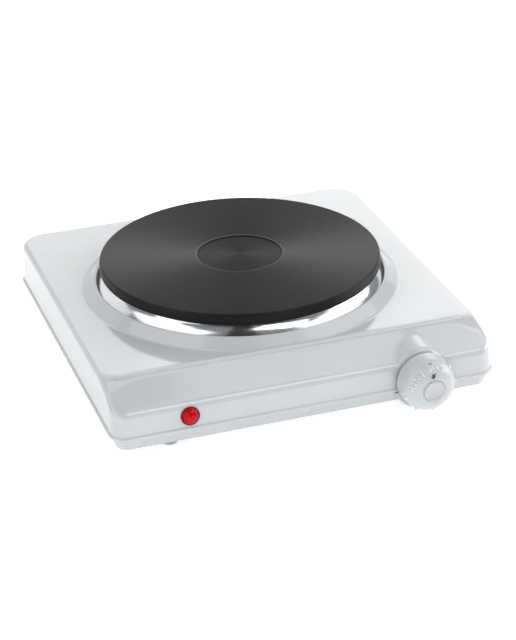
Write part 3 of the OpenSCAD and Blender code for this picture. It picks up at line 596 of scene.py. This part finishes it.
def top_rows(inner, foot):
    """Rings from the collar's foot to the rounded edge, closer together across the crease."""
    run = foot[:, 1] - inner[:, 1]
    safe_run = np.where(np.abs(run) < 1e-6, 1, run)
    crossing = np.where(inner[:, 1] < CREASE_Y, (CREASE_Y - inner[:, 1]) / safe_run, 0)
    crossing = np.clip(crossing, 0.16, 0.93)
    half = np.clip(1.0 * MM / np.maximum(np.abs(run), 1e-6), 0.012, 0.05)
    shares = np.concatenate([
        [1 - (1 - (crossing + half)) * k / 6 for k in range(1, 6)],
        [crossing + half * (1 - k / 3) for k in range(0, 7)],
        [(crossing - half) * (1 - k / 24) for k in range(1, 24)],
    ])
    rows = []
    for share in shares:
        xy = inner + (foot - inner) * share[:, None]
        rows.append(np.column_stack([xy, top_height(xy[:, 0], xy[:, 1])]))
    return rows


def wall_rows(inner, out, inset):
    """Rings over the rounded edge and down the wall to the lip, found by rays from inside."""
    deep = top_height(inner[:, 0], inner[:, 1]) - inset
    anchor = np.column_stack([inner, deep])
    rows = []
    for angle in (90, 72, 65, 60, 55, 50, 45, 40, 35, 30, 25, 18, 0):
        a = math.radians(angle)
        direction = np.column_stack([out * math.cos(a), np.full(len(out), math.sin(a))])
        rows.append(cast(anchor, direction))
    low = LIP_Z + LIP_H
    for k in range(1, 7):
        anchor[:, 2] = deep + (low - deep) * k / 6
        rows.append(cast(anchor, np.column_stack([out, np.zeros(len(out))])))
    return rows


def lip_rows(wall_foot, out):
    """Rings of the flared lip, outward from the foot of the wall."""
    reach, height = LIP_OUT / MM, LIP_H / MM
    section = [(0, height), (0.75 * reach, 1.9), (reach, 1.3), (reach, 0.6), (0.7, 0)]
    rows = []
    for away, rise in soften(section, 0.5, 3)[1:]:
        ring = wall_foot.copy()
        ring[:, :2] += out * away * MM
        ring[:, 2] = LIP_Z + rise * MM
        rows.append(ring)
    return rows


def housing_rows():
    """Rings of the outer surface from the ledge to the lip's lower edge."""
    wall, out = wall_stations()
    hub = np.array([PLATE_X, PLATE_Y])
    turn = np.arctan2(wall[:, 1] - PLATE_Y, wall[:, 0] - PLATE_X)
    circle = np.stack([np.cos(turn), np.sin(turn)], 1)
    inset = 2 * EDGE_R
    inner = wall - out * inset
    walls = wall_rows(inner, out, inset)
    tops = top_rows(inner, hub + circle * COLLAR_FOOT)
    return collar_rows(circle, hub) + tops + walls + lip_rows(walls[-1], out)


def bead():
    """Straight round-topped bead along the crease, with round ends."""
    half, width, height = 112.3 * MM, 2.8 * MM, 1.2 * MM
    radius = (width ** 2 + height ** 2) / (2 * height)
    spine = half - width
    ends = [(spine, a) for a in np.linspace(-90, 90, 17)] + [(-spine, a) for a in np.linspace(90, 270, 17)]
    count = len(ends)
    offsets = [0.02 * MM] + [width * k / 8 for k in range(1, 9)]
    levels = [(d, height - radius + math.sqrt(radius ** 2 - d ** 2)) for d in offsets]
    levels += [(width, -1.2 * MM)]
    verts = []
    for d, h in levels:
        for x, a in ends:
            t = math.radians(a)
            verts.append((x + d * math.cos(t), BEAD_Y + d * math.sin(t), TOP_Z + h))
    faces = grid_faces(len(levels), count)
    faces.append(tuple(range(count)))
    faces.append(tuple(range((len(levels) - 1) * count, len(levels) * count))[::-1])
    return verts, faces


def make_housing():
    """The pressed shell with its collar, panel, blister and lip, and the bead on it."""
    rows = housing_rows()
    cols = len(rows[0])
    verts = [tuple(p) for row in rows for p in row]
    shell = make_piece("housing_shell", verts, grid_faces(len(rows), cols), MATERIALS["white_enamel"],
                       stand_for=("top_housing",))
    thick = shell.modifiers.new("sheet", "SOLIDIFY")
    thick.thickness = SHEET
    thick.offset = -1
    verts, faces = bead()
    make_piece("housing_bead", verts, faces, MATERIALS["white_enamel"])


# ---- Hot plate and ring ----

def make_plate():
    """The casting: sunk disc, turned top, rim over the ring and the channel for the coils below."""
    top, low, r = PLATE_Z / MM, PLATE_LOW / MM, PLATE_R / MM
    rim, sunk, channel = top - 6.9, top - 0.8, top - 8.8
    outer = soften([
        (27.3, sunk), (27.75, top - 0.12), (28.4, top),
        (r - 1.5, top), (r - 0.35, top - 0.55), (r, top - 1.8), (r, rim + 0.5), (r - 0.5, rim),
        (86.6, rim), (85.2, rim - 1), (84.6, low + 0.8), (83.8, low), (80, low),
        (80, channel), (33, channel), (32.5, low), (3.02, low), (3.02, low + 10)], 0.35, 3)
    profile = in_mm([(0, sunk), (14, sunk)] + outer + [(0, low + 10)])
    verts, faces = lathe(profile, 256, upright)
    make_piece("iron_plate", verts, faces, MATERIALS["cast_iron"], stand_for=("hot_plate",))


def make_ring():
    """A gentle cove of thin sheet between plate and collar, with fine spinning ridges."""
    high, low, outer = ring_hi.z / MM, ring_lo.z / MM, ring_hi.x / MM
    drop, turn = high - low - 0.9, 17
    radius = drop / math.sqrt(2) / math.sin(math.radians(turn))
    reach = (radius * math.cos(math.radians(turn)) + drop / math.sqrt(2)) / math.sqrt(2)
    middle = (outer - drop + reach, low + 0.9 + reach)
    start = outer - drop
    ridged = [(r, z + (0.03 if k % 2 else -0.02) * (8 < k < 20))
              for k, (r, z) in enumerate(arc(middle, radius, 225 - turn, 224 + turn, 24))]
    ridged += [(outer - 0.2, low + 0.9), (outer, low + 0.6), (outer - 0.2, low), (outer - 2.0, low)]
    back = arc(middle, radius + 0.5, 222 + turn, 225 - turn, 12)
    profile = in_mm(ridged + back + [(start, high)])
    verts, faces = lathe(profile, 256, upright)
    make_piece("drip_ring", verts, faces, MATERIALS["polished_steel"],
               stand_for=("spill_ring",))


# ---- Knob ----

SHOULDER_R = 11.0
SHOULDER = (6.0, 6.0)
KNOB_R = 17.8
NUB_R = 1.45
DOT_R, DOT_DEPTH = 1.5, 2.5
WORD_RISE = 48
LETTERS = {
    "M": [((0, 0), (0, 1)), ((0, 1), (0.5, 0.3)), ((0.5, 0.3), (1, 1)), ((1, 1), (1, 0))],
    "I": [((0.5, 0), (0.5, 1))],
    "N": [((0, 0), (0, 1)), ((0, 1), (1, 0)), ((1, 0), (1, 1))],
    "A": [((0, 0), (0.5, 1)), ((0.5, 1), (1, 0)), ((0.22, 0.4), (0.78, 0.4))],
    "X": [((0, 0), (1, 1)), ((0, 1), (1, 0))],
}


def dome_point(turn, rise, a, b, c):
    """A point near the dome: turn clockwise from the top, rise along the shoulder, local offset in mm."""
    t, e = math.radians(turn), math.radians(rise)
    reach = SHOULDER[0] + SHOULDER_R * math.cos(e) - b * math.sin(e) + c * math.cos(e)
    out = SHOULDER[1] + SHOULDER_R * math.sin(e) + b * math.cos(e) + c * math.sin(e)
    u = a * math.cos(t) + reach * math.sin(t)
    v = -a * math.sin(t) + reach * math.cos(t)
    return facing_front(u * MM, v * MM, out * MM)


def raised_bar(turn, rise, start, end, width, height):
    """A bar with a rounded top that lies on the dome, from start to end in mm."""
    (x0, y0), (x1, y1) = start, end
    length = math.hypot(x1 - x0, y1 - y0)
    dx, dy = (x1 - x0) / length, (y1 - y0) / length
    section = [(-0.5, -0.5), (-0.5, 0.45), (-0.32, 0.85), (0, 1), (0.32, 0.85), (0.5, 0.45), (0.5, -0.5)]
    steps = 5
    verts = []
    for k in range(steps + 1):
        t = -width * 0.4 + (length + width * 0.8) * k / steps
        taper = 0.55 if k in (0, steps) else 1.0
        for s, h in section:
            px, py = x0 + dx * t - dy * s * width * taper, y0 + dy * t + dx * s * width * taper
            bend = py * py / (2 * SHOULDER_R) + px * px / 34
            verts.append(dome_point(turn, rise, px, -py, h * height * taper - bend))
    faces = grid_faces(steps + 1, len(section))
    faces.append(tuple(range(len(section)))[::-1])
    faces.append(tuple(range(steps * len(section), (steps + 1) * len(section))))
    return verts, faces


def word(letters, turn, pitch):
    """Raised three-letter word around the shoulder, its middle letter at the given turn."""
    parts = []
    width, height = 2.3, 3.2
    for i, letter in enumerate(letters):
        for a, b in LETTERS[letter]:
            parts.append(raised_bar(
                turn + (i - 1) * pitch, WORD_RISE,
                ((a[0] - 0.5) * width, (a[1] - 0.5) * height), ((b[0] - 0.5) * width, (b[1] - 0.5) * height),
                0.6, 0.55))
    return parts


def nub(turn):
    """Small rounded nub on the knob's side."""
    profile = [(0, NUB_R)] + arc((0, 0), NUB_R, 75, -15, 6)
    t = math.radians(turn)

    def place(u, v, w):
        reach = KNOB_R - 1.4 + w
        return facing_front((reach * math.sin(t) + u * math.cos(t)) * MM,
                            (reach * math.cos(t) - u * math.sin(t)) * MM, (SHOULDER[1] + 3 + v) * MM)

    return lathe(profile, 20, place)


def make_knob():
    """Domed knob with a dished front, raised words, nubs and a bore for the dark dot."""
    length = KNOB_LEN / MM
    dot_turn, dot_reach = math.radians(4), 9.6 * MM
    inner = SHOULDER_R - 2
    dish = arc((0, length + 13.2), 14.6, 270, 291.5, 10)
    profile = (
        [(0, dish[0][1])] + dish[1:]
        + arc((5.85, length - 0.5), 0.5, 130, 10, 10)
        + [(6.5, length - 1.0), (6.8, length - 1.45), (7.1, length - 1.3), (7.35, length - 1.0)]
        + arc(SHOULDER, SHOULDER_R, 82, 0, 30)
        + soften([(KNOB_R, 0.7), (KNOB_R - 0.05, 0.2), (KNOB_R - 0.4, 0), (KNOB_R - 1.8, 0)], 0.2, 2)
        + arc(SHOULDER, inner, 0, 90, 14)
        + [(5.2, SHOULDER[1] + inner), (5.2, 1.6), (3.03, 1.6), (3.03, 13.2), (0, 13.2)]
    )
    parts = [lathe(in_mm(profile), 144, facing_front)]
    parts += word("MAX", 12, 17) + word("MIN", -64, 15)
    parts.append(raised_bar(-30, 44, (0, -2.4), (0, 2.4), 0.7, 0.4))
    parts += [nub(40 * k + 10) for k in range(1, 7)]
    verts, faces = joined(*parts)
    dial = make_piece("dial_knob", verts, faces, MATERIALS["white_gloss_plastic"], "dial",
                      ("knob",))
    bore = [(0, length - DOT_DEPTH), (DOT_R, length - DOT_DEPTH), (DOT_R, length + 1), (0, length + 1)]

    def around_dot(u, v, w):
        return facing_front(u - dot_reach * math.sin(dot_turn), v + dot_reach * math.cos(dot_turn), w)

    carve(dial, lathe(in_mm(bore), 32, around_dot))


# ---- Pilot lamp ----

def make_lens_piece():
    """Domed lens with small facets, set square to the leaning front wall."""
    lean = math.atan(FACE_LEAN)
    centre_z = 22.2 * MM
    origin = Vector((LENS.x, WALL_FRONT + (centre_z - LIP_Z) * FACE_LEAN, centre_z))
    out = Vector((0, -math.cos(lean), math.sin(lean)))
    up = Vector((0, math.sin(lean), math.cos(lean)))

    def place(u, v, w):
        return tuple(origin + Vector((1, 0, 0)) * u + up * v + out * w)

    radius = 5.9
    rings = [(radius, 0.7), (5.28, 0.73), (4.75, 1.45), (3.7, 2.42), (2.5, 3.08), (1.25, 3.47)]
    count = 24
    verts = [place(0, 0, 3.6 * MM)]
    for i, (r, w) in enumerate(rings):
        for k in range(count):
            a = TAU * (k + 0.5 * (i % 2)) / count
            lift = 0.09 if (k + i) % 2 and 1 < i else 0.0
            verts.append(place(r * MM * math.cos(a), r * MM * math.sin(a), (w + lift) * MM))
    faces = []
    last = 1 + (len(rings) - 1) * count
    for k in range(count):
        faces.append((0, last + k, last + (k + 1) % count))
    for i in range(len(rings) - 1):
        a, b = 1 + i * count, 1 + (i + 1) * count
        for k in range(count):
            m = (k + 1) % count
            if i % 2 == 0:
                faces += [(a + k, a + m, b + k), (a + m, b + m, b + k)]
            else:
                faces += [(a + k, b + m, b + k), (a + k, a + m, b + m)]
    start = len(verts)
    tail = [(radius, 0.7), (radius, 0.05), (4.7, 0.05), (4.7, -6), (3.7, -6), (3.7, 0.5), (0, 0.5)]
    tail_verts, tail_faces = lathe(in_mm(tail), count, place)
    verts += tail_verts
    faces += [tuple(i + start for i in f) for f in tail_faces]
    lens = make_piece("lamp_lens", verts, faces, MATERIALS["red_lens"],
                      stand_for=("pilot_lens",))
    lens.data.shade_flat()


# ---- CAD pieces that stay ----

def dress_cad():
    """Materials and small rounded edges for the pieces that are shown as the CAD made them."""
    slots = {row["node"]: row["material_slot"] for row in frame["record"]["subparts"]}
    rounded = {"base_tray": 0.2, "cord_gland": 0.4, "feet": 0.3, "knob_marks": 0.05}
    for name, obj in frame["nodes"].items():
        obj.data.materials.clear()
        obj.data.materials.append(MATERIALS[slots[name]])
        weld = obj.modifiers.new("weld", "WELD")
        weld.merge_threshold = 1e-6
        bevel = obj.modifiers.new("edges", "BEVEL")
        bevel.width = rounded.get(name, 0.15) * MM
        bevel.segments = 2
        bevel.limit_method = "ANGLE"
        bevel.angle_limit = math.radians(40)
        bevel.harden_normals = True


# ---- Stage, light and camera ----

def make_stage():
    """A plain floor that curves up into a backdrop, far behind the part."""
    n = Nodes("floor_white", (0.93, 0.93, 0.93), 0.9, Emission_Color=(1, 1, 1, 1),
              Emission_Strength=0.50)
    n.colour(n.blend(n.span(n.noise(3, 2), 0, 1), (0.92, 0.92, 0.92), (0.94, 0.94, 0.94)))
    size, turn, start, height = 6.0, 1.5, 3.0, 5.0
    section = [(-size, 0)] + arc((start, turn), turn, -90, 0, 15) + [(start + turn, height)]
    verts = [(x, y, z) for y, z in section for x in (-size, size)]
    faces = [(2 * i, 2 * i + 1, 2 * i + 3, 2 * i + 2) for i in range(len(section) - 1)]
    mesh = bpy.data.meshes.new("floor")
    mesh.from_pydata(verts, [], faces)
    mesh.shade_smooth()
    mesh.materials.append(n.material)
    floor = bpy.data.objects.new("floor", mesh)
    SCENE.collection.objects.link(floor)


def make_flag():
    """A dark card that bends over the part from the front, seen in its polished surfaces alone."""
    n = Nodes("flag_black", (0.01, 0.01, 0.01), 0.9)
    n.colour(n.blend(n.span(n.noise(3, 2), 0, 1), (0.008, 0.008, 0.008), (0.012, 0.012, 0.012)))
    along = Vector((math.cos(VIEW_AZIMUTH), math.sin(VIEW_AZIMUTH), 0))
    out = Vector((math.sin(VIEW_AZIMUTH), -math.cos(VIEW_AZIMUTH), 0))
    half_width = 0.21
    bend = [(2.4, 0.02), (2.2, 1.0), (1.2, 1.35), (0.5, 1.5), (-0.5, 1.6)]
    corners = [out * d + along * u + Vector((0, 0, z)) for d, z in bend for u in (-half_width, half_width)]
    faces = [(2 * i, 2 * i + 1, 2 * i + 3, 2 * i + 2) for i in range(len(bend) - 1)]
    mesh = bpy.data.meshes.new("flag")
    mesh.from_pydata([tuple(c) for c in corners], [], faces)
    mesh.materials.append(n.material)
    flag = bpy.data.objects.new("flag", mesh)
    SCENE.collection.objects.link(flag)
    flag.visible_diffuse = False
    flag.visible_shadow = False
    flag.visible_camera = False


def softbox(name, place, target, size, radiance, mirrored=True):
    """A rectangular light whose face has the given brightness."""
    data = bpy.data.lights.new(name, "AREA")
    data.shape = "RECTANGLE"
    data.size, data.size_y = size
    data.energy = radiance * size[0] * size[1] * math.pi
    lamp = bpy.data.objects.new(name, data)
    lamp.location = place
    lamp.rotation_euler = (Vector(target) - Vector(place)).to_track_quat("-Z", "Y").to_euler()
    lamp.visible_glossy = mirrored
    SCENE.collection.objects.link(lamp)


def make_light():
    """Large soft boxes behind, beside and above the part, and a dim even surround."""
    world = bpy.data.worlds.new("studio")
    world.use_nodes = True
    background = world.node_tree.nodes["Background"]
    background.inputs["Color"].default_value = (0.97, 0.985, 1.0, 1)
    background.inputs["Strength"].default_value = 0.29
    SCENE.world = world
    middle = (0, 0, 0.04)
    softbox("box_back", (0.70, 1.75, 0.92), middle, (1.4, 0.9), 0.95)
    softbox("box_back_right", (0.95, 1.78, 1.08), middle, (1.1, 0.75), 0.65)
    softbox("box_left", (-1.6, -0.5, 0.62), middle, (1.2, 0.9), 1.6)
    softbox("box_right", (1.6, -0.1, 0.5), middle, (1.2, 0.8), 4.0)
    softbox("over_left", (-1.05, 0.15, 1.35), middle, (1.3, 1.3), 1.15)
    softbox("over_right", (1.15, -0.15, 1.2), middle, (1.2, 1.2), 1.10)
    softbox("over_top", (0.40, 0.50, 1.9), middle, (1.6, 0.9), 1.05)
    softbox("strip_front", (0.42, -1.0, 1.30), middle, (1.0, 0.55), 2.7)
    softbox("box_front", (-0.3, -2.3, 0.7), middle, (1.8, 0.9), 2.4, mirrored=False)


def make_camera():
    """A long lens to the front left of the part, aimed a little off the plate's centre."""
    azimuth, elevation = VIEW_AZIMUTH, math.radians(24.81)
    distance = 1.34135
    roll, pan, tilt = math.radians(-1.84), math.radians(-0.509), math.radians(1.870)
    level = math.cos(elevation)
    back = Vector((math.sin(azimuth) * level, -math.cos(azimuth) * level, math.sin(elevation)))
    ahead = -back
    right = ahead.cross(Vector((0, 0, 1))).normalized()
    up = right.cross(ahead)

    def turned(a, b, angle):
        """Two square axes turned in their own plane, the first towards the second."""
        return (a * math.cos(angle) + b * math.sin(angle), b * math.cos(angle) - a * math.sin(angle))

    right, up = turned(right, up, roll)
    ahead, right = turned(ahead, right, -pan)
    ahead, up = turned(ahead, up, -tilt)
    data = bpy.data.cameras.new("camera")
    data.lens = 116.33
    data.sensor_width = 36
    data.clip_start, data.clip_end = 0.05, 30
    camera = bpy.data.objects.new("camera", data)
    place = Vector((PLATE_X, PLATE_Y, PLATE_Z)) + back * distance
    camera.matrix_world = Matrix.Translation(place) @ Matrix((right, up, -ahead)).transposed().to_4x4()
    SCENE.collection.objects.link(camera)
    SCENE.camera = camera


make_camera()
make_light()
make_stage()
make_flag()
dress_cad()
make_housing()
make_plate()
make_ring()
make_knob()
make_lens_piece()

SCENE.view_settings.view_transform = "Standard"

bpy.context.view_layer.update()
